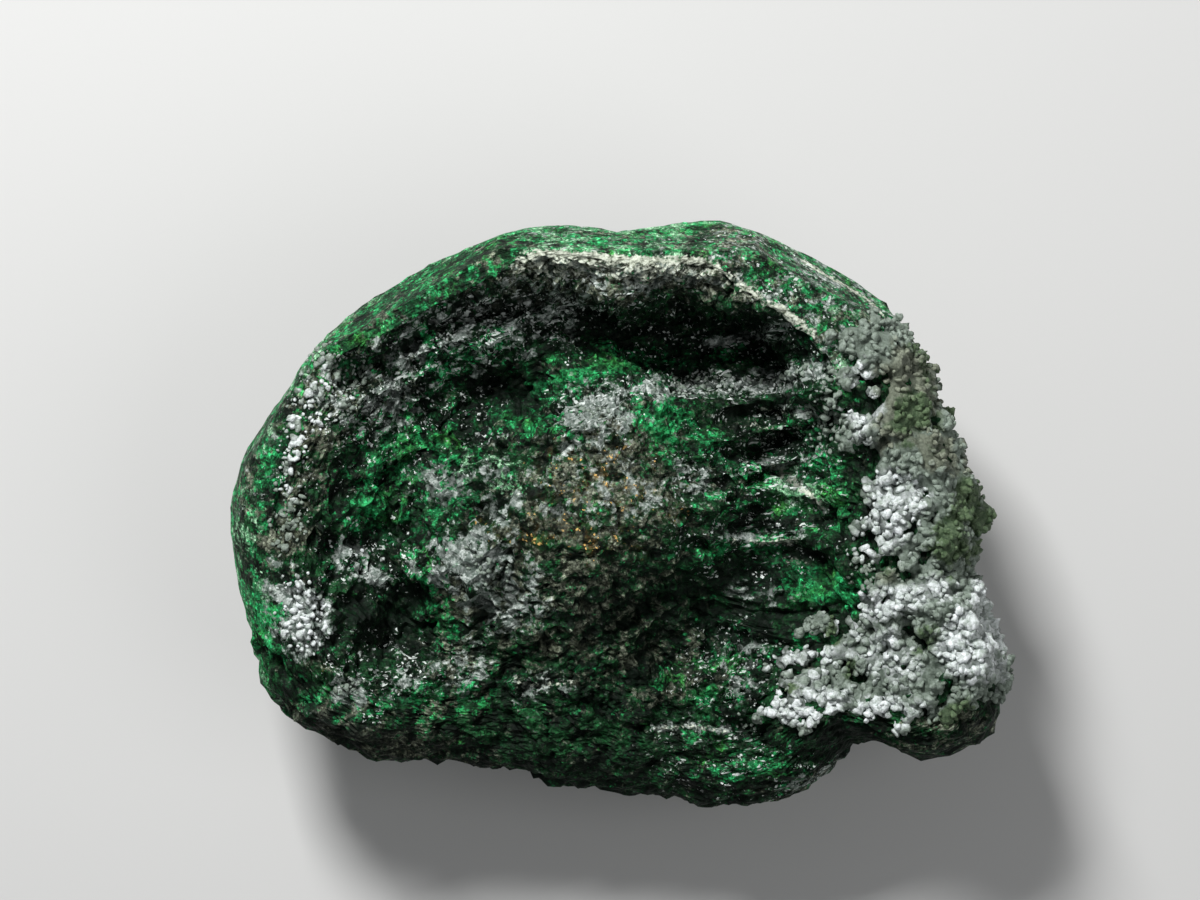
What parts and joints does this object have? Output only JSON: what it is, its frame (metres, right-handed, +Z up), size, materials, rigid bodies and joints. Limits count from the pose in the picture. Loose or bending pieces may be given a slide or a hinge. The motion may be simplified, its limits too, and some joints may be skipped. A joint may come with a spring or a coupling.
{
  "type": "rough mineral crystal",
  "caption": "Rough uvarovite garnet: a dark green crystal broken across, with natural faces behind and pale granular matrix on one flank.",
  "frame": {"origin": "centre of the bounding box in plan, at the level of the flat natural face that the specimen rests on", "axes": "+Z up, out of the broken face; +X across the crystal towards the pale matrix, along its longest side; +Y towards the bright natural rim"},
  "size_m": [0.0189, 0.0144, 0.0079],
  "materials": {
    "garnet": "glassy, broken",
    "matrix": "granular, dull"
  },
  "bodies": {
    "root": {"garnet_crystal": "garnet", "matrix_crust": "matrix"}
  },
  "joints": []
}
